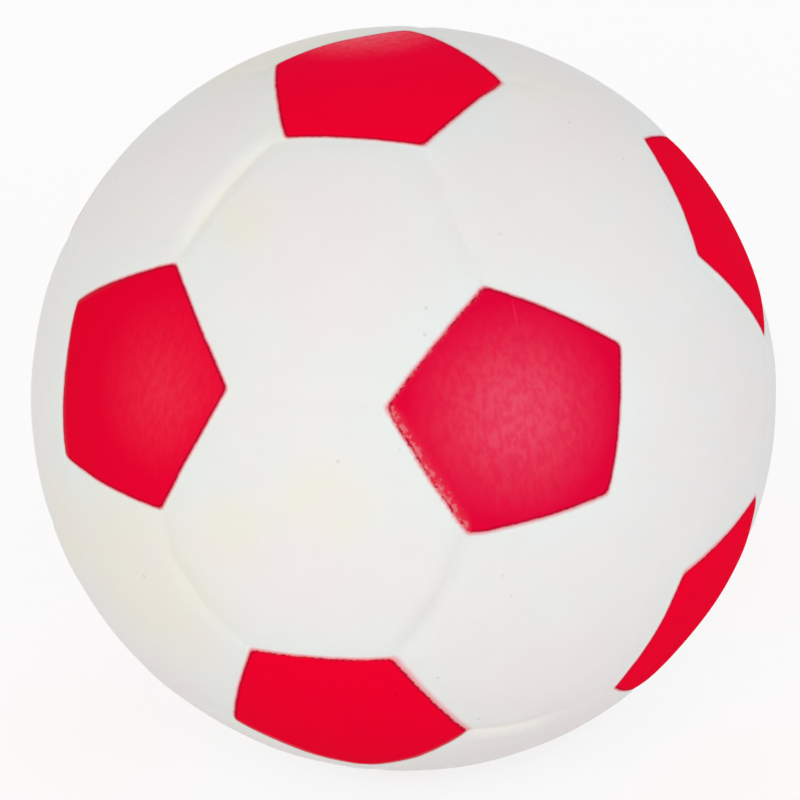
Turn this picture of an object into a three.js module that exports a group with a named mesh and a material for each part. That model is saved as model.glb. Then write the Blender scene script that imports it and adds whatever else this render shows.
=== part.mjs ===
// Foam dog ball. A soft moulded ball is laid out as twelve red pentagons and twenty white
// hexagons, each a shallow crowned panel with a soft groove all round it. The panels lie on a
// foam core whose flat seats follow the same layout.
// Lengths are in millimetres. The origin is the centre of the ball, and +Z points through the
// middle of the top pentagon.

import * as THREE from "three";
import { ConvexGeometry } from "three/addons/geometries/ConvexGeometry.js";

// Driving dimensions
const ballDiameter = 63;
const panelCornerThickness = 4;
const grooveDepth = 0.2;
const grooveShoulderWidth = 1.0;
const cutBetweenPanels = 0.3;
const seatClearance = 0.3;

// Fineness of the faceted surface
const stepsPerSide = 4;
const fieldRings = 3;
const shoulderRings = 3;

// Finishes of the foam, as seen on the ball
const whiteFoam = { color: 0xf1f0ee, roughness: 0.8 };
const redPaint = { color: 0xe40232, roughness: 0.6 };
const bareFoam = { color: 0xe9e4da, roughness: 0.9 };

const ballRadius = ballDiameter / 2;
const coreRadius = ballRadius - grooveDepth - panelCornerThickness;
const fifthOfTurn = (2 * Math.PI) / 5;

// Unit vector at a longitude and latitude of the ball
function direction(longitude, latitude) {
  return new THREE.Vector3(
    Math.cos(latitude) * Math.cos(longitude),
    Math.cos(latitude) * Math.sin(longitude),
    Math.sin(latitude),
  );
}

// Unit vector in the middle of several others
function middleOf(...directions) {
  const sum = new THREE.Vector3();
  directions.forEach((one) => sum.add(one));
  return sum.normalize();
}

// The pentagons face the corners of an icosahedron that stands on one of them: one at the top,
// a ring of five, a ring of five turned by half a step, and one at the bottom
const ringSteps = [0, 1, 2, 3, 4];
const ringLatitude = Math.atan(0.5);
const frontLongitude = -Math.PI / 2;
const topAxis = new THREE.Vector3(0, 0, 1);
const bottomAxis = new THREE.Vector3(0, 0, -1);
const upperAxes = ringSteps.map((k) => direction(frontLongitude + k * fifthOfTurn, ringLatitude));
const lowerAxes = ringSteps.map((k) => direction(frontLongitude + (k + 0.5) * fifthOfTurn, -ringLatitude));
const pentagonAxes = [topAxis, ...upperAxes, ...lowerAxes, bottomAxis];

// The hexagons face the middles of its twenty triangles, in four rings from top to bottom
function nextIn(ring, k) {
  return ring[(k + 1) % ring.length];
}
const hexagonAxes = [
  ...ringSteps.map((k) => middleOf(topAxis, upperAxes[k], nextIn(upperAxes, k))),
  ...ringSteps.map((k) => middleOf(upperAxes[k], nextIn(upperAxes, k), lowerAxes[k])),
  ...ringSteps.map((k) => middleOf(lowerAxes[k], nextIn(lowerAxes, k), nextIn(upperAxes, k))),
  ...ringSteps.map((k) => middleOf(bottomAxis, lowerAxes[k], nextIn(lowerAxes, k))),
];

// A panel corner lies a third of the way from one pentagon's axis to a neighbouring one's
function cornerToward(axis, neighbour) {
  return axis.clone().multiplyScalar(2).add(neighbour).normalize();
}

// The five pentagons nearest to a pentagon, one beyond each of its corners
function neighboursOf(axis) {
  return pentagonAxes.filter((other) => other !== axis && other.angleTo(axis) < fifthOfTurn);
}

// What the two kinds of panel are drawn from: how far their sides lie from their axis, as an
// angle at the ball's centre, and how high their flat seat lies on the core
function panelLayout(sides, axis, cornerA, cornerB) {
  return {
    sides,
    sideAngle: axis.angleTo(middleOf(cornerA, cornerB)),
    seatHeight: coreRadius * axis.dot(cornerA),
  };
}

const pentagonLayout = panelLayout(
  5,
  topAxis,
  cornerToward(topAxis, upperAxes[0]),
  cornerToward(topAxis, upperAxes[1]),
);
const hexagonLayout = panelLayout(
  6,
  hexagonAxes[0],
  cornerToward(topAxis, upperAxes[0]),
  cornerToward(upperAxes[0], topAxis),
);

// Points round a regular polygon in the plane one unit above the ball's centre, starting at a
// corner, with the middle of its first side over +X
function polygonRing(sides, apothem) {
  const sideTurn = (2 * Math.PI) / sides;
  const ring = [];
  for (let side = 0; side < sides; side += 1) {
    for (let step = 0; step < stepsPerSide; step += 1) {
      const swing = (step / stepsPerSide - 0.5) * sideTurn;
      const turn = side * sideTurn + swing;
      const reach = apothem / Math.cos(swing);
      ring.push(new THREE.Vector3(reach * Math.cos(turn), reach * Math.sin(turn), 1));
    }
  }
  return ring;
}

// A ring of points on a sphere, its sides great circles at a given angle from the axis
function sphereRing(sides, sideAngle, radius) {
  return polygonRing(sides, Math.tan(sideAngle)).map((point) => point.setLength(radius));
}

// A closed body from rings of points that run from its top to its flat underside
function bodyFromRings(topPoint, rings, undersidePoint) {
  const around = rings[0].length;
  const points = [topPoint, ...rings.flat(), undersidePoint];
  const last = points.length - 1;
  const faces = [];
  for (let i = 0; i < around; i += 1) {
    const next = (i + 1) % around;
    faces.push(0, 1 + i, 1 + next);
    for (let r = 0; r < rings.length - 1; r += 1) {
      const upper = 1 + r * around;
      const lower = upper + around;
      faces.push(upper + i, lower + i, lower + next);
      faces.push(upper + i, lower + next, upper + next);
    }
    const lowest = last - around;
    faces.push(last, lowest + next, lowest + i);
  }
  const geometry = new THREE.BufferGeometry().setFromPoints(points);
  geometry.setIndex(faces);
  geometry.computeVertexNormals();
  return geometry;
}

// One panel about its own axis: a field on the ball's sphere, a shoulder that rolls off into the
// groove, walls that keep half the cut to the neighbours, and a flat underside over its seat
function panelGeometry({ sides, sideAngle, seatHeight }) {
  const halfCut = cutBetweenPanels / 2;
  const edgeRadius = ballRadius - grooveDepth;
  const edgeAngle = sideAngle - Math.asin(halfCut / edgeRadius);
  const fieldAngle = edgeAngle - grooveShoulderWidth / ballRadius;
  const rings = [];
  for (let k = 1; k <= fieldRings; k += 1) {
    rings.push(sphereRing(sides, (fieldAngle * k) / fieldRings, ballRadius));
  }
  for (let k = 1; k <= shoulderRings; k += 1) {
    const share = k / shoulderRings;
    const angle = fieldAngle + (edgeAngle - fieldAngle) * share;
    rings.push(sphereRing(sides, angle, ballRadius - grooveDepth * share ** 2));
  }
  const undersideHeight = seatHeight + seatClearance;
  const undersideApothem = undersideHeight * Math.tan(sideAngle) - halfCut / Math.cos(sideAngle);
  const underside = polygonRing(sides, undersideApothem / undersideHeight);
  rings.push(underside.map((point) => point.multiplyScalar(undersideHeight)));
  return bodyFromRings(
    new THREE.Vector3(0, 0, ballRadius),
    rings,
    new THREE.Vector3(0, 0, undersideHeight),
  );
}

// Foam and paint are never metallic
function foamMaterial(finish) {
  return new THREE.MeshStandardMaterial({ ...finish, metalness: 0 });
}

// A panel turned to face along an axis, with the middle of one side toward another direction
function placedPanel(name, geometry, finish, axis, toward) {
  const across = toward.clone().addScaledVector(axis, -axis.dot(toward)).normalize();
  const along = new THREE.Vector3().crossVectors(axis, across);
  const panel = new THREE.Mesh(geometry, foamMaterial(finish));
  panel.name = name;
  panel.quaternion.setFromRotationMatrix(new THREE.Matrix4().makeBasis(across, along, axis));
  return panel;
}

// The direction among several that lies nearest to an axis
function nearestTo(axis, directions) {
  return directions.reduce((best, one) => (one.dot(axis) > best.dot(axis) ? one : best));
}

// A name with a two-figure number, counted from 01
function numbered(word, index) {
  return `${word}_${String(index + 1).padStart(2, "0")}`;
}

// All the panels of one kind, from the top of the ball to the bottom
function panelSet(word, layout, finish, axes, otherAxes) {
  const set = new THREE.Group();
  const geometry = panelGeometry(layout);
  axes.forEach((axis, index) => {
    set.add(placedPanel(numbered(word, index), geometry, finish, axis, nearestTo(axis, otherAxes)));
  });
  return set;
}

// The core has a flat seat under each panel
function foamCore() {
  const corners = pentagonAxes.flatMap((axis) =>
    neighboursOf(axis).map((neighbour) => cornerToward(axis, neighbour).setLength(coreRadius)),
  );
  const core = new THREE.Mesh(new ConvexGeometry(corners), foamMaterial(bareFoam));
  core.name = "foam_core";
  return core;
}

const ball = new THREE.Group();
ball.add(foamCore());
ball.add(panelSet("red_pentagon", pentagonLayout, redPaint, pentagonAxes, hexagonAxes));
ball.add(panelSet("white_hexagon", hexagonLayout, whiteFoam, hexagonAxes, pentagonAxes));

export default ball;
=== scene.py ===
"""Looks of a soft foam dog ball: white foam with twelve pentagons painted red, and a shallow
moulded groove round every panel."""

import math
import random

import bmesh
import bpy
import numpy as np
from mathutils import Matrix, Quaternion, Vector


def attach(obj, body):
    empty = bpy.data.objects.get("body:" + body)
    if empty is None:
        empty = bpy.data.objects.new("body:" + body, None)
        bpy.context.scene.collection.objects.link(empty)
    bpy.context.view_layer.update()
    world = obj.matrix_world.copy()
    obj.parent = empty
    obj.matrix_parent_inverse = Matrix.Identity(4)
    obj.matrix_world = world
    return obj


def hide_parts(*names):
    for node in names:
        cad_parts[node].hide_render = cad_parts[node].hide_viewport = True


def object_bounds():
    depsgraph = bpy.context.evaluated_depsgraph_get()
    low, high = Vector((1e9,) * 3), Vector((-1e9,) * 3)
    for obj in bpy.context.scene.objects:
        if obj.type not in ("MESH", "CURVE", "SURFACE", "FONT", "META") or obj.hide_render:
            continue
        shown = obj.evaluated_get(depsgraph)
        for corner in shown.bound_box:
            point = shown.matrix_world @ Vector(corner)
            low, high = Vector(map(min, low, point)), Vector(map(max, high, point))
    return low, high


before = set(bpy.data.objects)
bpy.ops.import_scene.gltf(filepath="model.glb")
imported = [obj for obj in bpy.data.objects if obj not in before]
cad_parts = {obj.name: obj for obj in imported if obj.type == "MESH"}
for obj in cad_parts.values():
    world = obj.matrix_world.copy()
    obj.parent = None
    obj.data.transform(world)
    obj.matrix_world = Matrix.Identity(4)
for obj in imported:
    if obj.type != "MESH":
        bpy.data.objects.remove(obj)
cad_low, cad_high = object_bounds()

MM = 0.001
BALL_RADIUS = (cad_high.z - cad_low.z) / 2
BALL_RADIUS_MM = BALL_RADIUS / MM

# Millimetres that stand for nowhere near
FAR_AWAY = 20.0

# The photograph, in pixels from its top left corner
PHOTO_SIDE = 800
BALL_MIDDLE_X = 403.4
BALL_MIDDLE_Y = 398.3
BALL_RADIUS_PX = 372.8

# Where the camera stands
VIEW_AZIMUTH = math.radians(-19.17)
VIEW_ELEVATION = math.radians(31.44)
VIEW_ROLL = math.radians(5.56)
VIEW_DISTANCE_IN_RADII = 17
SENSOR_MM = 36.0
CLIP_RANGE = (0.01, 20.0)

# Grooves between the panels, in millimetres. They are deeper or shallower in some places: azimuth
# and elevation in degrees, radius in millimetres, and by what share of the usual depth. The least
# and the most depth and the one beside the paint are shares of it too.
GROOVE_DEPTH = 0.15
GROOVE_HALF_WIDTH = 1.7
GROOVE_ROUNDING = 0.12
GROOVE_UNEVENNESS = 0.25
LEAST_AND_MOST_DEPTH = (0.1, 4)
DEPTH_BESIDE_PAINT = 0.7
BLEND_BESIDE_PAINT = 1.5
GROOVE_SPOTS_SEEN = (
    (-168, 66, 3.1, 1.6), (-167, 59, 3.3, 2.1), (-166, 52, 2.6, 2.0), (-104, 5, 2.9, 2.2),
    (-110, -4, 3.2, 2.2), (-88, 56, 3.1, 1.7), (-88, 66, 2.6, 0.9), (-97, -34, 4.0, 1.3),
    (-88, -35, 3.1, 0.3), (-78, -35, 4.3, -0.4), (174, 72, 2.5, 1.2), (-12, 63, 3.4, -0.3),
    (-13, 54, 5.3, -0.8), (-146, -1, 3.1, 1.0), (-142, -7, 2.9, -0.5), (-137, 30, 3.2, -0.5),
    (-70, -3, 4.8, -0.6), (-81, -13, 4.3, -0.4),
)
GROOVE_SPOTS_UNSEEN = 9
GROOVE_SPOT_RADII = (4, 7)
GROOVE_CHANGES_UNSEEN = (-0.6, 0.9)

# Where a groove runs a little off its ideal line: azimuth and elevation in degrees, radius in
# millimetres, and how far off, in millimetres to the east and north
GROOVE_SHIFTS_SEEN = (
    (-146, -1, 4.3, -0.8, -0.5), (-150, 4, 3.1, -0.3, -0.2), (-96, -34, 3.5, 0.0, -0.7),
    (-88, -35, 3.1, 0.0, -0.1), (-167, 60, 5.6, -0.4, 0.0), (-108, -2, 5.1, 0.4, -0.3),
)

# The mould's pentagons go along with a share of the paint's shift, within a radius in millimetres
PANEL_SHIFT_SHARE = 0.4
PANEL_SHIFT_RADIUS = 9.0

# Slow unevenness of the moulded foam, in millimetres. Its highest places stand a few hundredths of
# a millimetre above the ball's radius.
LUMP_HEIGHT = 0.02
LUMP_LENGTHS = (5.0, 16.0)
LUMP_WAVES = 26
LUMP_SEED = 7

# How finely a panel is divided, how much closer the rows lie near its edge, and below what length
# a point counts as the panel's middle
ROWS = 36
ROW_CROWDING = 1.6
MIDDLE_WITHIN = 1e-6

# How the paint lies on each pentagon. At each of its five sides, anticlockwise from the panel's
# east, in millimetres: how far it reaches past its usual place, how much farther at LEAN_LENGTH
# from the side's middle, how wide it is too thin to hide the foam, and how wide spray drifted past
# its edge. Some panels took a gloss in one place, which lies so far to the panel's east and north,
# fades over a width, and has a strength, with a painted highlight, a paler and pinker red, a little
# wider than it. The painted light and tone is how bright a panel's red is: panels that the light
# reaches less are painted brighter. Each side's paint bows out a little in its middle.
PAINT_MARGIN = -0.18
PAINT_BOW = 0.07
PAINT_BOW_LEVEL = 0.4
PAINT_CORNER_SHARPNESS = 7.0
LEAN_LENGTH = 5.0
NO_SIDE = (0.0, 0.0, 0.0, 0.0, 0.0)
GLOSS_SPREAD = 6.0
GLOSS_PLATEAU = 0.35
# Painted highlight: how much wider than the gloss the paler red spreads
PAINTED_HIGHLIGHT_SPREAD = 1.3
NO_GLOSS = (0.0, 0.0, GLOSS_SPREAD, 0.0)
PAINT_SEEN = {
    "red_pentagon_01": dict(
        reach=(0.01, -0.09, -0.82, -0.12, 0.28),
        lean=(0.24, -0.12, 0.0, 0.0, 0.20),
        mist=(0.2, 0.2, 0.0, 0.0, 0.1),
        gloss=(3.0, 9.0, 6.0, 0.46),
        painted_light_and_tone=1.23,
    ),
    "red_pentagon_02": dict(
        reach=(-0.26, -0.13, 0.26, 0.20, 0.13),
        lean=(0.05, 0.10, -0.10, 0.0, 0.11),
        thin=(0.0, 0.4, 1.25, 0.0, 0.0),
        mist=(0.0, 0.1, 0.1, 0.15, 0.0),
        gloss=(-0.3, -0.1, 7.8, 0.85),
        painted_light_and_tone=1.02,
    ),
    "red_pentagon_03": dict(reach=(-0.1, -0.13, -0.51, 0.0, 0.0), painted_light_and_tone=1.20),
    "red_pentagon_05": dict(reach=(-1.0, 0.0, 0.1, 0.1, -0.6)),
    "red_pentagon_06": dict(
        reach=(0.15, 0.43, 0.50, 0.01, -0.20),
        lean=(0.04, 0.15, 0.14, -0.17, -0.08),
        gloss=(4.4, 1.9, 7.2, 0.23),
        painted_light_and_tone=1.10,
    ),
    "red_pentagon_07": dict(
        reach=(0.2, 0.08, -0.43, 0.0, 0.1),
        lean=(0.0, -0.20, -0.10, 0.0, 0.0),
        mist=(0.0, 0.4, 0.0, 0.0, 0.0),
        painted_light_and_tone=1.22,
    ),
    "red_pentagon_10": dict(reach=(-1.5, -0.6, 0.1, 0.0, 0.1)),
    "red_pentagon_11": dict(
        reach=(0.12, -0.03, -0.36, 0.58, 0.46),
        lean=(-0.12, 0.0, 0.0, 0.0, 0.0),
        thin=(0.0, 0.3, 0.0, 0.0, 0.0),
        mist=(0.5, 0.15, 0.0, 0.0, 0.0),
        painted_light_and_tone=1.18,
    ),
}

# How the paint lies on the pentagons out of sight, drawn from a seed within these limits
PAINT_REACH_UNSEEN = 0.3
PAINT_LEAN_UNSEEN = 0.15
THIN_PAINT_UNSEEN = 0.7
MIST_UNSEEN = 0.5
GLOSS_UNSEEN = 0.3
GLOSS_OFF_MIDDLE_UNSEEN = 2
# How bright each panel's red is out of sight, which varies at random
PAINTED_LIGHT_AND_TONE_UNSEEN = (1.02, 1.16)

# A fine scratch in a panel's paint: how far both its ends lie to the panel's east and north, and
# over what length it tapers off, in millimetres. Past its ends it is next to nothing wide.
SCRATCHES = {"red_pentagon_02": ((2.03, 9.21), (1.59, 6.17))}
SCRATCH_TAPER = 1.2
SCRATCH_WIDTH_PAST_ENDS = 0.02

# Faint tinges of the white foam, and painted shade (grime) and painted light with a warm tint
# (warmth): azimuth and elevation in degrees, and radius in millimetres. The painted shade and
# light keep to the grooves, within a width in millimetres.
TINGES_AND_PAINTED_LIGHT_SEEN = {
    "blush": (
        (-126, 57, 5.5), (166, 60, 5.5), (-29, 56, 6.5), (-90, -19, 5.0), (-128, 6, 4.0), (-45, 6, 4.0),
        (-125, 44, 2.9), (-52, 57, 3.7), (-79, -35, 4.3),
    ),
    "straw": (
        (-155, -2, 8.0), (-123, 16, 4.0), (-149, 57, 3.0), (-19, 63, 3.7), (-137, 10, 3.5), (-177, -3, 4.3),
    ),
    # grime: painted shade, darker foam in two deep grooves
    "grime": ((-103, 4, 5.0), (-109, -6, 4.5)),
    # warmth: painted light with a warm tint, lighter foam in two grooves
    "warmth": ((-167, 60, 7.0), (-97, -34, 4.0)),
}
PAINTED_SHADE_AND_LIGHT_IN_GROOVES = ("grime", "warmth")
PAINTED_SHADE_AND_LIGHT_WIDTH = 0.8
TINGES_AND_PAINTED_LIGHT_UNSEEN = 4
TINGE_AND_PAINTED_LIGHT_RADII_UNSEEN = (4, 8)

# The azimuths, in degrees, of the side that the photograph doesn't show
UNSEEN_AZIMUTHS = (60, 130)

# How the foam under the panels is rounded at its edges, in millimetres, up to what angle its faces
# count as one flat seat, and the digits kept of its points in metres
HEART_ROUNDING = 0.4
HEART_ROUNDING_STEPS = 3
FLAT_WITHIN = math.radians(2)
POINT_DIGITS = 7

# Soft spots either fade from their middle on, or stay even up to near their rim
BELL = 2
FLAT_TOP = 4

# Two axes are the same within an angle in radians, and an axis is upright from a height on
SAME_AXIS = 0.01
NEARLY_UPRIGHT = 0.99


# The panels' layout, read from the frame
def node_axis(name):
    """Unit vector from the ball's centre through the middle of a CAD panel."""
    total = Vector()
    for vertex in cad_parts[name].data.vertices:
        total += vertex.co
    return total.normalized()


def underside_height(name, axis):
    """How high above the ball's centre the flat underside of a CAD panel lies."""
    return min(vertex.co.dot(axis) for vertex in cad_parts[name].data.vertices)


PENTAGONS = {n: node_axis(n) for n in sorted(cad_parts) if n.startswith("red_pentagon")}
HEXAGONS = {n: node_axis(n) for n in sorted(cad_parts) if n.startswith("white_hexagon")}


def nearest_pentagons(axis, count):
    """The names of the pentagons nearest to an axis, leaving out the one on it."""
    others = [n for n, a in PENTAGONS.items() if a.angle(axis) > SAME_AXIS]
    return sorted(others, key=lambda n: PENTAGONS[n].angle(axis))[:count]


def in_turn(directions, axis):
    """Directions put in order round an axis, anticlockwise seen from outside."""
    start = directions[0] - axis * directions[0].dot(axis)
    side = axis.cross(start)
    return sorted(directions, key=lambda d: math.atan2(d.dot(side), d.dot(start)))


def corner_toward(axis, neighbour):
    """A panel corner lies a third of the way from one pentagon's axis to the next one's."""
    return (axis * 2 + neighbour).normalized()


def pentagon_corners(axis):
    """The corners of the pentagon on an axis."""
    around = [PENTAGONS[n] for n in nearest_pentagons(axis, 5)]
    return in_turn([corner_toward(axis, a) for a in around], axis)


def hexagon_corners(axis):
    """The corners of the hexagon on an axis."""
    around = [PENTAGONS[n] for n in nearest_pentagons(axis, 3)]
    return in_turn([corner_toward(a, b) for a in around for b in around if a is not b], axis)


def edge_planes(corners):
    """Outward unit normals of the planes through the ball's centre and a panel's sides."""
    following = corners[1:] + corners[:1]
    return np.array([b.cross(a).normalized() for a, b in zip(corners, following)])


# Places and spots on the ball
def toward(azimuth, elevation):
    """Unit vector at an azimuth and elevation in degrees."""
    turn, lift = math.radians(azimuth), math.radians(elevation)
    return np.array([math.cos(turn) * math.cos(lift), math.sin(turn) * math.cos(lift), math.sin(lift)])


def local_frame(axis):
    """East and north on the ball where an axis leaves it."""
    up = Vector((0, 0, 1)) if abs(axis.z) < NEARLY_UPRIGHT else Vector((0, 1, 0))
    north = (up - axis * up.dot(axis)).normalized()
    return north.cross(axis), north


def on_panel(axis, to_east, to_north):
    """Unit vector to a place so many millimetres east and north of where an axis leaves the ball."""
    east, north = local_frame(axis)
    return np.array((axis * BALL_RADIUS_MM + east * to_east + north * to_north).normalized())


def sides_in_order(axis):
    """The planes of a pentagon's sides, anticlockwise from its east."""
    east, north = local_frame(axis)
    planes = edge_planes(pentagon_corners(axis))
    bearings = np.arctan2(planes @ np.array(north), planes @ np.array(east)) % (2 * math.pi)
    return planes[np.argsort(bearings)]


def soft_spot(directions, middle, radius, power):
    """1 in the middle of a round spot with a radius in millimetres, and 0 well outside it."""
    away = np.arccos(np.clip(directions @ middle, -1, 1)) * BALL_RADIUS_MM
    return np.exp(-((away / radius) ** power))


def out_of_sight(draw):
    """A seeded azimuth and elevation on the side that the photograph doesn't show."""
    return draw.uniform(*UNSEEN_AZIMUTHS), math.degrees(math.asin(draw.uniform(-1, 1)))


# Where the paint lies
PAINT_FIELDS = ("past_paint", "thin_paint", "overspray", "gloss", "painted_highlight", "painted_light_and_tone", "off_scratch")
DISTANCES = ("past_paint", "off_scratch")


def paint_fit(name):
    """How the paint lies on a pentagon: as seen, or drawn from a seed where it is out of sight."""
    draw = random.Random(name)
    thin_side, misty_side, turn = draw.randrange(5), draw.randrange(5), draw.uniform(0, 2 * math.pi)
    unseen = dict(
        reach=[draw.uniform(-PAINT_REACH_UNSEEN, PAINT_REACH_UNSEEN) for _ in range(5)],
        lean=[draw.uniform(-PAINT_LEAN_UNSEEN, PAINT_LEAN_UNSEEN) for _ in range(5)],
        thin=[draw.uniform(0, THIN_PAINT_UNSEEN) if side == thin_side else 0 for side in range(5)],
        mist=[draw.uniform(0, MIST_UNSEEN) if side == misty_side else 0 for side in range(5)],
        gloss=(
            GLOSS_OFF_MIDDLE_UNSEEN * math.cos(turn),
            GLOSS_OFF_MIDDLE_UNSEEN * math.sin(turn),
            GLOSS_SPREAD,
            draw.uniform(0, GLOSS_UNSEEN),
        ),
        painted_light_and_tone=draw.uniform(*PAINTED_LIGHT_AND_TONE_UNSEEN),
    )
    seen = dict(unseen, lean=NO_SIDE, thin=NO_SIDE, mist=NO_SIDE, gloss=NO_GLOSS)
    return dict(seen, **PAINT_SEEN[name]) if name in PAINT_SEEN else unseen


def scratch_field(name, directions):
    """Millimetres that points lie off a pentagon's scratch, and far more past its ends."""
    if name not in SCRATCHES:
        return np.full(len(directions), FAR_AWAY)
    start, end = [on_panel(PENTAGONS[name], *place) for place in SCRATCHES[name]]
    length = np.linalg.norm(end - start)
    across = np.cross(start, end) / length
    along = np.abs(directions @ (end - start)) / length
    inside = np.clip((length / 2 - along) * BALL_RADIUS_MM / SCRATCH_TAPER, SCRATCH_WIDTH_PAST_ENDS, 1)
    return directions @ across * BALL_RADIUS_MM / inside


def painted_field(name, directions):
    """Millimetres that points lie past the paint's edge on a pentagon, negative under the paint,
    then how wide the thin paint and the drifted spray beside them are, their gloss, the painted
    highlight round it, their painted light and tone, and how far they lie off its scratch."""
    axis = PENTAGONS[name]
    fit = paint_fit(name)
    planes = sides_in_order(axis)
    along = np.cross(np.array(axis), planes)
    along /= np.linalg.norm(along, axis=1, keepdims=True)
    way = directions @ along.T * BALL_RADIUS_MM / LEAN_LENGTH
    margins = PAINT_MARGIN + np.array(fit["reach"]) + np.array(fit["lean"]) * way
    margins -= PAINT_BOW * (way**2 - PAINT_BOW_LEVEL)
    past = np.arcsin(np.clip(directions @ planes.T, -1, 1)) * BALL_RADIUS_MM - margins
    nearness = np.exp(PAINT_CORNER_SHARPNESS * past)
    share = nearness / nearness.sum(axis=1, keepdims=True)
    to_east, to_north, spread, strength = fit["gloss"]
    middle = on_panel(axis, to_east, to_north)
    gloss = (1 + GLOSS_PLATEAU) * soft_spot(directions, middle, spread, BELL) - GLOSS_PLATEAU
    return np.array([
        np.log(nearness.sum(axis=1)) / PAINT_CORNER_SHARPNESS,
        share @ np.array(fit["thin"]),
        share @ np.array(fit["mist"]),
        strength * np.clip(gloss, 0, 1),
        # painted highlight: paler, pinker red round the gloss
        strength * soft_spot(directions, middle, spread * PAINTED_HIGHLIGHT_SPREAD, BELL),
        # painted light and tone: how bright the panel's red is
        np.full(len(directions), fit["painted_light_and_tone"]),
        scratch_field(name, directions),
    ])


# Shape of the surface, as functions of directions from the ball's centre
def lump_waves():
    """A few seeded plane waves, whose sum is a slow unevenness all over the ball."""
    draw = random.Random(LUMP_SEED)
    waves = []
    for _ in range(LUMP_WAVES):
        heading = Vector([draw.gauss(0, 1) for _ in range(3)]).normalized()
        length = draw.uniform(*LUMP_LENGTHS)
        wave = np.array(heading) * 2 * math.pi * BALL_RADIUS_MM / length
        waves.append((wave, draw.uniform(0, 2 * math.pi)))
    return waves


WAVES = lump_waves()
AXES = np.array([PENTAGONS[name] for name in sorted(PENTAGONS)])
SIDES = np.array([sides_in_order(PENTAGONS[name]) for name in sorted(PENTAGONS)])


def unevenness(directions):
    """A number round 0 at each of many directions, mostly within 1 of it and seldom 3 or more off."""
    total = sum(np.sin(directions @ wave + phase) for wave, phase in WAVES)
    return total / math.sqrt(LUMP_WAVES / 2)


def groove_change(directions):
    """How much deeper or shallower than usual the grooves are, at each of many directions."""
    draw = random.Random("grooves")
    spots = list(GROOVE_SPOTS_SEEN)
    for _ in range(GROOVE_SPOTS_UNSEEN):
        place = out_of_sight(draw)
        spots.append((*place, draw.uniform(*GROOVE_SPOT_RADII), draw.uniform(*GROOVE_CHANGES_UNSEEN)))
    return sum(c * soft_spot(directions, toward(a, e), r, FLAT_TOP) for a, e, r, c in spots)


def groove_shift(directions):
    """How far the moulded grooves lie off the ideal layout, in millimetres. The mould's pentagons
    go part of the way with the paint."""
    total = np.zeros(directions.shape)
    for name, axis in PENTAGONS.items():
        off = np.array(paint_fit(name)["reach"]) @ sides_in_order(axis) * PANEL_SHIFT_SHARE
        total += soft_spot(directions, np.array(axis), PANEL_SHIFT_RADIUS, FLAT_TOP)[:, None] * off
    for azimuth, elevation, radius, to_east, to_north in GROOVE_SHIFTS_SEEN:
        middle = toward(azimuth, elevation)
        east, north = local_frame(Vector(middle))
        off = np.array(east) * to_east + np.array(north) * to_north
        total += soft_spot(directions, middle, radius, FLAT_TOP)[:, None] * off
    return total


def groove_distance(directions):
    """Millimetres to the nearest groove, and how much of it lies beside a painted pentagon."""
    moved = directions - groove_shift(directions) / BALL_RADIUS_MM
    moved /= np.linalg.norm(moved, axis=1, keepdims=True)
    nearest = np.argsort(-(moved @ AXES.T), axis=1)[:, :3]
    past_side = np.einsum("nk,nsk->ns", moved, SIDES[nearest[:, 0]]).max(axis=1) * BALL_RADIUS_MM
    between = []
    for one, other in ((0, 1), (1, 2), (2, 0)):
        plane = np.cross(AXES[nearest[:, one]], AXES[nearest[:, other]])
        plane /= np.linalg.norm(plane, axis=1, keepdims=True)
        between.append(np.abs((moved * plane).sum(axis=1)) * BALL_RADIUS_MM)
    apart = np.where(past_side < 0, FAR_AWAY, np.min(between, axis=0))
    beside = np.clip((apart - np.abs(past_side)) / BLEND_BESIDE_PAINT + 0.5, 0, 1)
    return np.minimum(np.abs(past_side), apart), beside


def surface_heights(directions):
    """Millimetres from the ball's centre."""
    distance, beside = groove_distance(directions)
    distance = np.hypot(distance, GROOVE_ROUNDING) - GROOVE_ROUNDING
    groove = np.clip(1 - distance / GROOVE_HALF_WIDTH, 0, 1) ** 2
    wander = unevenness(directions)
    depth = 1 + GROOVE_UNEVENNESS * wander + groove_change(directions)
    depth = GROOVE_DEPTH * np.clip(depth, *LEAST_AND_MOST_DEPTH)
    depth *= 1 - (1 - DEPTH_BESIDE_PAINT) * beside
    return BALL_RADIUS_MM - LUMP_HEIGHT * (1 + wander) - depth * groove


# Where the foam is tinged, and where shade and light are painted in the grooves
def tinge_and_painted_light_spots(kind):
    """The soft spots of one kind, a tinge, painted shade or painted light, those out of sight drawn from a
    seed.
    """
    spots = list(TINGES_AND_PAINTED_LIGHT_SEEN[kind])
    draw = random.Random(kind)
    for _ in range(TINGES_AND_PAINTED_LIGHT_UNSEEN):
        spots.append((*out_of_sight(draw), draw.uniform(*TINGE_AND_PAINTED_LIGHT_RADII_UNSEEN)))
    return spots


def tinge_and_painted_light(kind, directions):
    """Between 0 and 1, how strong a tinge, painted shade or painted light is at each of many directions."""
    spots = tinge_and_painted_light_spots(kind)
    return np.clip(sum(soft_spot(directions, toward(a, e), r, FLAT_TOP) for a, e, r in spots), 0, 1)


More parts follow.
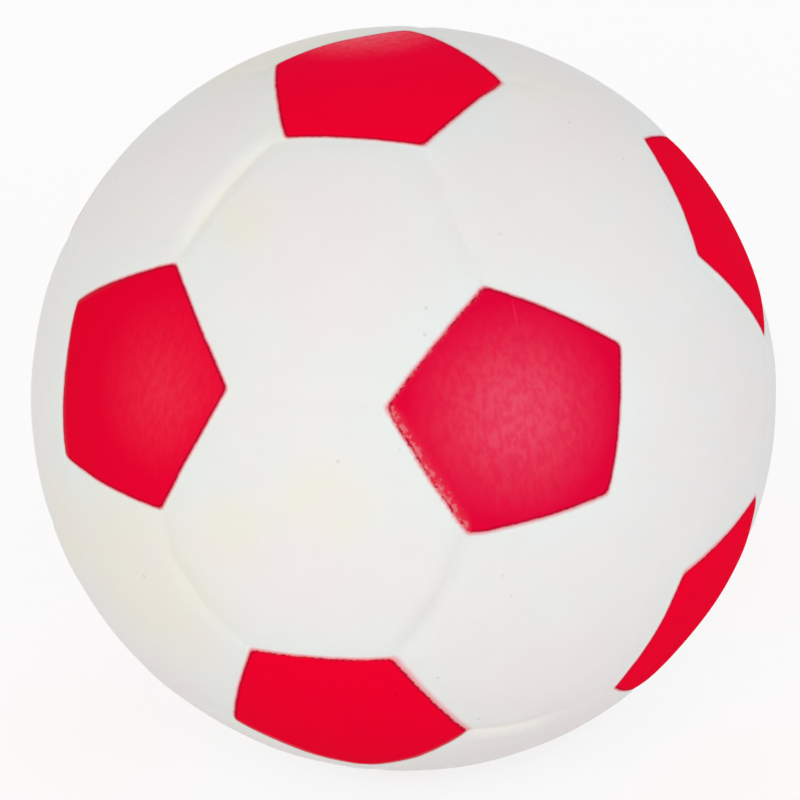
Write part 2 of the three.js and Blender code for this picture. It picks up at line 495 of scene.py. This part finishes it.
# The panels' meshes
def flat_grid(sides):
    """A regular polygon one unit high above the origin, divided into triangles in rows that run
    along its sides, with apothem 1. Its rows crowd toward the edge."""
    bm = bmesh.new()
    reach = 1 / math.cos(math.pi / sides)
    turns = [2 * math.pi * (k - 0.5) / sides for k in range(sides)]
    bm.faces.new([bm.verts.new((reach * math.cos(t), reach * math.sin(t), 1)) for t in turns])
    bmesh.ops.poke(bm, faces=bm.faces[:])
    bmesh.ops.subdivide_edges(bm, edges=bm.edges[:], cuts=ROWS - 1, use_grid_fill=True)
    for vertex in bm.verts:
        turn = math.atan2(vertex.co.y, vertex.co.x)
        swing = (turn + math.pi / sides) % (2 * math.pi / sides) - math.pi / sides
        row = math.hypot(vertex.co.x, vertex.co.y) * math.cos(swing)
        if row > MIDDLE_WITHIN:
            crowded = 1 - max(0.0, 1 - row) ** ROW_CROWDING
            vertex.co.x *= crowded / row
            vertex.co.y *= crowded / row
    return bm


def placed(bm, name):
    """An object of the scene, made of a bmesh that has served its turn."""
    mesh = bpy.data.meshes.new(name)
    bm.to_mesh(mesh)
    bm.free()
    thing = bpy.data.objects.new(name, mesh)
    bpy.context.scene.collection.objects.link(thing)
    return thing


def smooth_skin(bm, name):
    """A smoothly shaded object whose faces all look outward."""
    for face in bm.faces:
        face.smooth = True
    bmesh.ops.recalc_face_normals(bm, faces=bm.faces[:])
    return placed(bm, name)


def store(mesh, name, values):
    """Keeps one number for each vertex of a mesh."""
    attribute = mesh.attributes.new(name, "FLOAT", "POINT")
    attribute.data.foreach_set("value", values.astype(np.float32))


def store_looks(mesh, directions, pentagons):
    """Keeps, for each vertex, how the paint lies on the nearest of some pentagons, and the foam's
    tinges, with the painted shade and painted light that keep to the grooves."""
    fields = np.array([painted_field(name, directions) for name in pentagons])
    nearest = np.argmin(fields[:, 0], axis=0)
    kept = np.take_along_axis(fields, nearest[None, None, :], axis=0)[0]
    for name, values in zip(PAINT_FIELDS, kept):
        store(mesh, name, values)
    distance = groove_distance(directions)[0]
    for kind in TINGES_AND_PAINTED_LIGHT_SEEN:
        near = np.exp(-((distance / PAINTED_SHADE_AND_LIGHT_WIDTH) ** 2)) if kind in PAINTED_SHADE_AND_LIGHT_IN_GROOVES else 1.0
        store(mesh, kind, tinge_and_painted_light(kind, directions) * near)


def foam_panel(name, axis, corners, painted_beside):
    """One moulded panel: its skin with the shoulders of the grooves, its walls down the middle of
    the grooves, and its flat underside, as high above the core as that of its CAD panel."""
    bm = flat_grid(len(corners))
    middle = (corners[0] + corners[1]).normalized()
    across = (middle - axis * middle.dot(axis)).normalized()
    along = axis.cross(across)
    spread = math.tan(axis.angle(middle))
    rim = [edge for edge in bm.edges if edge.is_boundary]
    walls = bmesh.ops.extrude_edge_only(bm, edges=rim)["geom"]
    low = [v for v in walls if isinstance(v, bmesh.types.BMVert)]
    low_edges = [e for e in walls if isinstance(e, bmesh.types.BMEdge)]
    for edge in rim:
        edge.smooth = False
    bm.verts.index_update()
    directions = []
    for vertex in bm.verts:
        flat = axis + (across * vertex.co.x + along * vertex.co.y) * spread
        directions.append(flat.normalized())
    directions = np.array(directions)
    heights = surface_heights(directions) * MM
    for vertex, direction, height in zip(bm.verts, directions, heights):
        vertex.co = Vector(direction) * height
    seat = underside_height(name, axis)
    for vertex in low:
        vertex.co *= seat / vertex.co.dot(axis)
    bmesh.ops.edgeloop_fill(bm, edges=low_edges)
    piece = smooth_skin(bm, name + "_skin")
    store_looks(piece.data, directions, painted_beside)
    return piece


def foam_heart():
    """The foam under the panels, with a flat seat for each and slightly rounded corners."""
    bm = bmesh.new()
    points = {tuple(round(c, POINT_DIGITS) for c in v.co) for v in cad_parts["foam_core"].data.vertices}
    for point in sorted(points):
        bm.verts.new(point)
    bmesh.ops.convex_hull(bm, input=bm.verts[:])
    bmesh.ops.dissolve_limit(bm, angle_limit=FLAT_WITHIN, verts=bm.verts[:], edges=bm.edges[:])
    bmesh.ops.bevel(
        bm,
        geom=bm.verts[:] + bm.edges[:],
        offset=HEART_ROUNDING * MM,
        segments=HEART_ROUNDING_STEPS,
        profile=0.5,
        affect="EDGES",
        material=-1,
    )
    return smooth_skin(bm, "foam_heart")


# Shaders
class Field:
    """A number or colour that varies over the surface. Arithmetic with it adds Math nodes."""

    def __init__(self, tree, socket):
        self.tree = tree
        self.socket = socket

    def math(self, operation, first, second):
        """What a Math node makes of two numbers."""
        return self.tree.node("ShaderNodeMath", {"operation": operation}, {0: first, 1: second})

    def __add__(self, other):
        return self.math("ADD", self, other)

    def __radd__(self, other):
        return self.math("ADD", other, self)

    def __sub__(self, other):
        return self.math("SUBTRACT", self, other)

    def __rsub__(self, other):
        return self.math("SUBTRACT", other, self)

    def __mul__(self, other):
        return self.math("MULTIPLY", self, other)

    def __rmul__(self, other):
        return self.math("MULTIPLY", other, self)

    def __truediv__(self, other):
        return self.math("DIVIDE", self, other)

    def ramp(self, start, end):
        """0 up to start, 1 from end on, and smooth between."""
        settings = {"interpolation_type": "SMOOTHSTEP"}
        inputs = {"Value": self, "From Min": start, "From Max": end}
        return self.tree.node("ShaderNodeMapRange", settings, inputs)


class Shader:
    """The nodes of one material, or of the world."""

    def __init__(self, owner, output="ShaderNodeOutputMaterial"):
        owner.use_nodes = True
        self.owner = owner
        self.nodes = owner.node_tree.nodes
        self.links = owner.node_tree.links
        self.nodes.clear()
        self.output = self.nodes.new(output)

    def node(self, kind, settings, inputs, output=0):
        """Adds a node with its settings and its sockets' values or links, and gives an output."""
        node = self.nodes.new(kind)
        for name, value in settings.items():
            setattr(node, name, value)
        for name, value in inputs.items():
            if isinstance(value, Field):
                self.links.new(value.socket, node.inputs[name])
            else:
                node.inputs[name].default_value = value
        return Field(self, node.outputs[output])

    def millimetres(self):
        """Object coordinates, in millimetres."""
        place = self.node("ShaderNodeTexCoord", {}, {}, "Object")
        return self.node("ShaderNodeVectorMath", {"operation": "SCALE"}, {0: place, "Scale": 1 / MM})

    def noise(self, place, size, detail=2.0, roughness=0.5):
        """Noise between about 0 and 1, with features of a size in millimetres."""
        inputs = {"Vector": place, "Scale": 1 / size, "Detail": detail, "Roughness": roughness}
        return self.node("ShaderNodeTexNoise", {}, inputs, "Fac")

    def cells(self, place, size):
        """Distance from the middles of scattered cells of a size in millimetres."""
        return self.node("ShaderNodeTexVoronoi", {}, {"Vector": place, "Scale": 1 / size}, "Distance")

    def blend(self, factor, first, second):
        """Colours mixed by a factor."""
        settings = {"data_type": "RGBA"}
        return self.node("ShaderNodeMix", settings, {0: factor, 6: first, 7: second}, 2)

    def vary(self, color, factor):
        """A colour times a number."""
        return self.node("ShaderNodeVectorMath", {"operation": "SCALE"}, {0: color, "Scale": factor})

    def stretched(self, place, factors):
        """Coordinates times a factor along each axis, which draws a pattern out where it is small."""
        return self.node("ShaderNodeVectorMath", {"operation": "MULTIPLY"}, {0: place, 1: factors})

    def attribute(self, name):
        """A number kept on the vertices."""
        return self.node("ShaderNodeAttribute", {"attribute_name": name}, {}, "Fac")

    def finish(self, surface):
        self.links.new(surface.socket, self.output.inputs["Surface"])
        return self.owner


# Colours of the foam and the paint
WHITE_FOAM = (0.893, 0.880, 0.862, 1.0)
BLUSHED_FOAM = (0.920, 0.868, 0.855, 1.0)
STRAW_FOAM = (0.905, 0.880, 0.775, 1.0)
# Lighter and warmer: painted light with a warm tint in two grooves
WARM_PAINTED_LIGHT_FOAM = (0.965, 0.940, 0.860, 1.0)
MINT_FOAM = (0.862, 0.902, 0.875, 1.0)
PINK_HAZE = (0.98, 0.42, 0.50, 1.0)
RED_PAINT = (0.80, 0.0002, 0.024, 1.0)
RED_PAINT_DEEP = (0.75, 0.0002, 0.023, 1.0)
# Painted highlight: a paler, pinker red round the gloss
RED_PAINT_HIGHLIGHT = (0.80, 0.004, 0.070, 1.0)
# Dark red rim: piled paint, and painted shade at the groove's bottom
RED_PAINT_PILED_SHADED = (0.34, 0.0002, 0.024, 1.0)
SCRATCHED_PAINT = (0.86, 0.14, 0.55, 1.0)

# Sizes in the foam's skin and the paint, in millimetres
GRAIN_SIZE = 0.27
TUFT_SIZE = 0.36
THIN_GRAIN_SIZE = 0.44
STREAK_SIZE = 0.5
STREAK_STRETCH = (1.0, 1.0, 0.3)
PORE_SPACING = 0.62
PORE_PATCH_SIZE = 2.6
DIMPLE_SPACING = 3.4
MOTTLE_SIZE = 3.4
CLOUD_SIZE = 6.0
EDGE_WANDER_SIZE = 1.8
EDGE_WANDER = 0.14
EDGE_SOFTNESS = 0.12
LEAST_MIST_WIDTH = 0.26
LEAST_THIN_WIDTH = 0.001
PILED_SHADED_PATCH_SIZE = 0.5

# How far the paint's edge strays in tufts, and by what shares of the thin and misty widths more
RAGGED, RAGGED_WHERE_THIN, RAGGED_WHERE_MISTY = 0.05, 0.06, 0.12

# The rim of piled paint and painted shade at the groove's bottom, in millimetres past the paint's edge:
# where it starts and ends
PILED_SHADED_START = (-0.30, -0.14)
PILED_SHADED_END = (-0.05, 0.10)

# How strongly each thing shows, as shares of one
# Piled paint and painted shade at the paint's edge
PILED_SHADED_DARKNESS = 0.62
PILED_SHADED_GAPS_WHERE_THIN = 0.8
FOAM_SHOWING_THROUGH = 0.23
SHOWING_IN_GRAINS, SHOWING_EVENLY = 0.8, 0.2
MIST, MIST_IN_TUFTS = 0.42, 0.16
MINT_BESIDE_PAINT, MINT_IN_CLOUDS = 0.55, 0.35
TINGE_AND_PAINTED_LIGHT_SHARE, BLUSH_IN_CLOUDS = 0.8, 0.3
PINK_HAZE_SHARE = 0.5
DEEP_RED_SHARE = 0.3
SCRATCH_PALENESS, SCRATCH_BRIGHTNESS = 0.045, 0.08
# Painted shade: how much darker the foam is in two deep grooves
GROOVE_PAINTED_SHADE_DARKNESS = 0.03

# Mint foam reaches from one distance to the other off the paint, and a scratch's half-width
# squared, in millimetres
MINT_REACH = (5.0, 0.6)
SCRATCH_HALF_WIDTH_SQUARED = 0.028

# Heights in the foam's skin, in millimetres
GRAIN_HEIGHT = 0.014
STREAK_HEIGHT = 0.024
PORE_DEPTH = 0.012
DIMPLE_DEPTH = 0.05

# Gloss: matt bare foam, smoother paint, and a thin coat that is weaker on the paint
FOAM_ROUGHNESS = 0.62
PAINT_SMOOTHER_BY = 0.15
FOAM_COAT = 0.16
PAINT_COAT_LESS = 0.14
COAT_ROUGHNESS = 0.40
BARE_FOAM_SHEEN = 0.3
PAINTED_FOAM_SHEEN = 0.0
SHEEN_ROUGHNESS = 0.35


def paint_cover(shader, place, tufts):
    """How far a point lies past the paint's edge, in millimetres, and from 0 to 1 the paint, its
    rim of piled paint and painted shade, the foam that shows through where it is thin, and the haze of spray
    past it."""
    # The edge wanders a little, more where the paint is thin or misty, and along the mask lies a rim of
    # piled paint with painted shade
    thin_width = shader.attribute("thin_paint")
    spray_width = shader.attribute("overspray")
    raggedness = RAGGED + thin_width * RAGGED_WHERE_THIN + spray_width * RAGGED_WHERE_MISTY
    wander = (shader.noise(place, EDGE_WANDER_SIZE, 1.0) - 0.5) * EDGE_WANDER
    past = shader.attribute("past_paint") + (wander + (tufts - 0.5) * raggedness)
    paint = 1.0 - past.ramp(-EDGE_SOFTNESS, EDGE_SOFTNESS)
    thinness = (past / (thin_width + LEAST_THIN_WIDTH) + 1.0).ramp(0.0, 1.0)
    gaps = shader.noise(place, PILED_SHADED_PATCH_SIZE, 1.0).ramp(0.42, 0.56)
    piled_shaded = past.ramp(*PILED_SHADED_START) * (1.0 - past.ramp(*PILED_SHADED_END))
    piled_shaded = piled_shaded * (1.0 - thinness * gaps * PILED_SHADED_GAPS_WHERE_THIN)

    # On its thin side the foam shows through in grains, and past its edge lies a haze of spray
    grains = shader.noise(place, THIN_GRAIN_SIZE, 1.0).ramp(0.25, 0.75)
    grains = (thinness * 0.95 - grains).ramp(0.0, 0.70)
    showing = (grains * SHOWING_IN_GRAINS + thinness * SHOWING_EVENLY) * (1.0 - piled_shaded)
    mist = (1.0 - past / (spray_width + LEAST_MIST_WIDTH)).ramp(0.0, 1.0)
    mist = mist * (MIST + (tufts - 0.5) * MIST_IN_TUFTS)
    return past, paint, piled_shaded, showing, mist


def foam_colour(shader, past, mist, cloud, brightness):
    """White foam: mint beside the paint and in clouds, tinged in places, pink under the spray, with painted
    light and a warm tint in two grooves and painted shade in two deep ones.
    """
    mint = past.ramp(*MINT_REACH) * MINT_BESIDE_PAINT + cloud.ramp(0.50, 0.66) * MINT_IN_CLOUDS
    blush = shader.attribute("blush") * TINGE_AND_PAINTED_LIGHT_SHARE + cloud.ramp(0.50, 0.34) * BLUSH_IN_CLOUDS
    white = shader.blend(mint, WHITE_FOAM, MINT_FOAM)
    white = shader.blend(shader.attribute("straw") * TINGE_AND_PAINTED_LIGHT_SHARE, white, STRAW_FOAM)
    white = shader.blend(blush, white, BLUSHED_FOAM)
    # Painted light with a warm tint: lighter, warmer foam in two grooves, where the warmth field lies
    white = shader.blend(shader.attribute("warmth") * TINGE_AND_PAINTED_LIGHT_SHARE, white, WARM_PAINTED_LIGHT_FOAM)
    # Painted shade: darker foam in two deep grooves, where the grime field lies
    white = shader.vary(white, brightness - shader.attribute("grime") * GROOVE_PAINTED_SHADE_DARKNESS)
    return shader.blend(mist.ramp(0.0, 0.5) * PINK_HAZE_SHARE, white, PINK_HAZE)


def paint_colour(shader, piled_shaded, mottle, brightness):
    """Red paint: deeper in patches, with a painted highlight where it took a gloss, scratched, brighter on
    panels that the light reaches less (painted light), and dark at its rim of piled paint and painted shade.
    """
    off_scratch = shader.attribute("off_scratch")
    scratched = (off_scratch * off_scratch).ramp(SCRATCH_HALF_WIDTH_SQUARED, 0.0)
    red = shader.blend(mottle.ramp(0.35, 0.75) * DEEP_RED_SHARE, RED_PAINT, RED_PAINT_DEEP)
    # Painted highlight: paler, pinker red round the gloss
    red = shader.blend(shader.attribute("painted_highlight"), red, RED_PAINT_HIGHLIGHT)
    red = shader.blend(scratched * SCRATCH_PALENESS, red, SCRATCHED_PAINT)
    brightness = brightness + scratched * SCRATCH_BRIGHTNESS
    # Painted light: panels that the light reaches less are painted brighter; out of sight they vary at
    # random
    red = shader.vary(red, shader.attribute("painted_light_and_tone") * brightness)
    # Piled paint and painted shade: a dark rim at the paint's edge, at the groove's bottom
    return shader.blend(piled_shaded * PILED_SHADED_DARKNESS, red, RED_PAINT_PILED_SHADED)


def foam_finish(name, sheen):
    """Fine closed-cell foam, with red paint sprayed on where the paint's edge says. Bare foam is a
    little velvety, which lifts its looks where it is seen at a low angle."""
    shader = Shader(bpy.data.materials.new(name))
    place = shader.millimetres()
    grain = shader.noise(place, GRAIN_SIZE, 2.0, 0.6) - 0.5
    tufts = shader.noise(place, TUFT_SIZE, 2.0, 0.55).ramp(0.34, 0.66)
    mottle = shader.noise(place, MOTTLE_SIZE, 3.0, 0.55)
    cloud = shader.noise(place, CLOUD_SIZE)
    streaks = shader.noise(shader.stretched(place, STREAK_STRETCH), STREAK_SIZE, 2.0, 0.6)
    pore_patches = shader.noise(place, PORE_PATCH_SIZE).ramp(0.54, 0.70)
    pores = shader.cells(place, PORE_SPACING).ramp(0.26, 0.10) * pore_patches
    dimples = shader.cells(place, DIMPLE_SPACING).ramp(0.060, 0.025)
    past, paint, piled_shaded, showing, mist = paint_cover(shader, place, tufts)

    covered = paint * (1.0 - showing * FOAM_SHOWING_THROUGH) + (1.0 - paint) * mist
    foam_brightness = 1.0 + (mottle - 0.5) * 0.03 - pores * 0.03 - dimples * 0.10
    paint_brightness = 1.0 + grain * 0.06 - pores * 0.12 - dimples * 0.1
    white = foam_colour(shader, past, mist, cloud, foam_brightness)
    red = paint_colour(shader, piled_shaded, mottle, paint_brightness)

    height = grain * GRAIN_HEIGHT + (streaks - 0.5) * STREAK_HEIGHT
    height = height - pores * PORE_DEPTH - dimples * DIMPLE_DEPTH
    bump = {"Height": height, "Distance": MM, "Strength": 1.0}
    gloss = shader.attribute("gloss") * (1.0 - piled_shaded) * paint
    gloss = gloss * (0.60 + streaks.ramp(0.34, 0.66) * 0.6 + mottle * 0.2)
    look = {
        "Base Color": shader.blend(covered, white, red),
        "Roughness": FOAM_ROUGHNESS - paint * PAINT_SMOOTHER_BY + (mottle - 0.5) * 0.08,
        "Normal": shader.node("ShaderNodeBump", {}, bump, "Normal"),
        "Specular IOR Level": 0.0,
        "Sheen Weight": sheen,
        "Sheen Roughness": SHEEN_ROUGHNESS,
        "Coat Weight": FOAM_COAT - covered * PAINT_COAT_LESS + gloss,
        "Coat Roughness": COAT_ROUGHNESS,
    }
    return shader.finish(shader.node("ShaderNodeBsdfPrincipled", {}, look, "BSDF"))


# The camera, first of all that is made
def ball_camera():
    """The camera as it stood for the photograph, and the ways toward it, to its right and up."""
    back = Vector((
        math.sin(VIEW_AZIMUTH) * math.cos(VIEW_ELEVATION),
        -math.cos(VIEW_AZIMUTH) * math.cos(VIEW_ELEVATION),
        math.sin(VIEW_ELEVATION),
    ))
    data = bpy.data.cameras.new("camera")
    camera = bpy.data.objects.new("camera", data)
    bpy.context.scene.collection.objects.link(camera)
    focal_px = BALL_RADIUS_PX * math.sqrt(VIEW_DISTANCE_IN_RADII**2 - 1)
    data.sensor_width = SENSOR_MM
    data.lens = focal_px / PHOTO_SIDE * SENSOR_MM
    data.clip_start, data.clip_end = CLIP_RANGE
    roll = Quaternion((0, 0, 1), -VIEW_ROLL)
    turned = (-back).to_track_quat("-Z", "Y") @ roll
    right = turned @ Vector((1, 0, 0))
    up = turned @ Vector((0, 1, 0))
    off_right = (BALL_MIDDLE_X - PHOTO_SIDE / 2) / focal_px
    off_up = (PHOTO_SIDE / 2 - BALL_MIDDLE_Y) / focal_px
    looking = (-back - right * off_right - up * off_up).normalized()
    camera.location = back * (VIEW_DISTANCE_IN_RADII * BALL_RADIUS)
    camera.rotation_mode = "QUATERNION"
    camera.rotation_quaternion = looking.to_track_quat("-Z", "Y") @ roll
    bpy.context.scene.camera = camera
    return back, right, up


TO_CAMERA, CAMERA_RIGHT, CAMERA_UP = ball_camera()

# Lamps, each where the camera sees it from the ball: degrees to the right, degrees up, its
# distance and size in metres, and its strength as the share of plain light that it gives
LAMPS = {
    "front_panel": dict(right=-15, up=-6, distance=1.4, size=1.0, share=0.209, color=(1.0, 0.985, 0.95)),
    "right_softbox": dict(right=35, up=-4, distance=0.9, size=0.50, share=0.18, color=(0.88, 0.92, 1.0)),
    "left_softbox": dict(right=-76, up=-2, distance=0.9, size=0.24, share=0.088, color=(1.0, 0.975, 0.86)),
    "top_panel": dict(right=10, up=80, distance=1.2, size=0.8, share=0.06, color=(1.0, 0.96, 0.97)),
    "back_right_panel": dict(right=105, up=22, distance=1.2, size=0.6, share=0.045, color=(0.95, 0.97, 1.0)),
}

# The light from all round, and the floor: half its side in metres, its colour where the ball is
# lit by it, and its colour and glow where it is seen
WORLD_LIGHT = 0.60
FLOOR_HALF_SIDE = 3.0
PALE_FLOOR = (0.86, 0.86, 0.86, 1.0)
FAINT_FLOOR = (0.30, 0.30, 0.30, 1.0)
FLOOR_GLOW = 0.74


def soft_lamp(name, right, up, distance, size, share, color):
    """A square softbox that faces the ball."""
    turn = math.radians(right)
    lift = math.radians(up)
    outward = (
        CAMERA_RIGHT * math.sin(turn) * math.cos(lift)
        + CAMERA_UP * math.sin(lift)
        + TO_CAMERA * math.cos(turn) * math.cos(lift)
    )
    data = bpy.data.lights.new(name, "AREA")
    data.shape = "SQUARE"
    data.size = size
    data.color = color
    data.energy = share * math.pi**2 * distance**2
    lamp = bpy.data.objects.new(name, data)
    lamp.location = outward * distance
    lamp.rotation_mode = "QUATERNION"
    lamp.rotation_quaternion = (-outward).to_track_quat("-Z", "Y")
    bpy.context.scene.collection.objects.link(lamp)


def seen_white(shader):
    """1 for rays that show the backdrop: the camera's, mirrored ones and ones through glass."""
    seen = shader.node("ShaderNodeLightPath", {}, {}, "Is Camera Ray")
    for kind in ("Is Glossy Ray", "Is Transmission Ray"):
        seen = seen.math("MAXIMUM", seen, shader.node("ShaderNodeLightPath", {}, {}, kind))
    return seen


def plain_world():
    """Even white light from all round, and plain white past the floor, in mirrors and glass too."""
    world = bpy.data.worlds.new("white_room")
    bpy.context.scene.world = world
    shader = Shader(world, "ShaderNodeOutputWorld")
    strength = WORLD_LIGHT + seen_white(shader) * (1.0 - WORLD_LIGHT)
    room = {"Color": (1.0, 1.0, 1.0, 1.0), "Strength": strength}
    shader.finish(shader.node("ShaderNodeBackground", {}, room))


def pale_floor():
    """A pale floor that looks white and still takes the ball's shadow."""
    bm = bmesh.new()
    bmesh.ops.create_grid(bm, x_segments=2, y_segments=2, size=FLOOR_HALF_SIDE)
    bmesh.ops.translate(bm, vec=(0, 0, -BALL_RADIUS), verts=bm.verts[:])
    floor = placed(bm, "floor")
    shader = Shader(bpy.data.materials.new("pale_floor"))
    matt = shader.node("ShaderNodeBsdfDiffuse", {}, {"Color": PALE_FLOOR})
    faint = shader.node("ShaderNodeBsdfDiffuse", {}, {"Color": FAINT_FLOOR})
    white = shader.node("ShaderNodeEmission", {}, {"Strength": FLOOR_GLOW})
    seen = shader.node("ShaderNodeAddShader", {}, {0: faint, 1: white})
    surface = {0: seen_white(shader), 1: matt, 2: seen}
    floor.data.materials.append(shader.finish(shader.node("ShaderNodeMixShader", {}, surface)))


def dress(piece, material, slot, *nodes):
    """Gives a finished piece its material, puts it under the root body, and hides the CAD nodes that it
    stands in for. The slot is not used.
    """
    piece.data.materials.append(material)
    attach(piece, "root")
    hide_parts(*nodes)


def build_ball():
    """The panels and the foam under them, each in its finish."""
    white_foam = foam_finish("white_foam", BARE_FOAM_SHEEN)
    red_paint = foam_finish("red_painted_foam", PAINTED_FOAM_SHEEN)
    for name, axis in PENTAGONS.items():
        piece = foam_panel(name, axis, pentagon_corners(axis), [name])
        dress(piece, red_paint, "red_panel", name)
    for name, axis in HEXAGONS.items():
        piece = foam_panel(name, axis, hexagon_corners(axis), nearest_pentagons(axis, 3))
        dress(piece, white_foam, "white_panel", name)
    heart = foam_heart()
    for field in (*PAINT_FIELDS, *TINGES_AND_PAINTED_LIGHT_SEEN):
        away = FAR_AWAY if field in DISTANCES else 0.0
        store(heart.data, field, np.full(len(heart.data.vertices), away))
    dress(heart, white_foam, "foam_core", "foam_core")


plain_world()
pale_floor()
for lamp_name, lamp in LAMPS.items():
    soft_lamp(lamp_name, **lamp)
build_ball()

bpy.context.scene.view_settings.view_transform = "Standard"
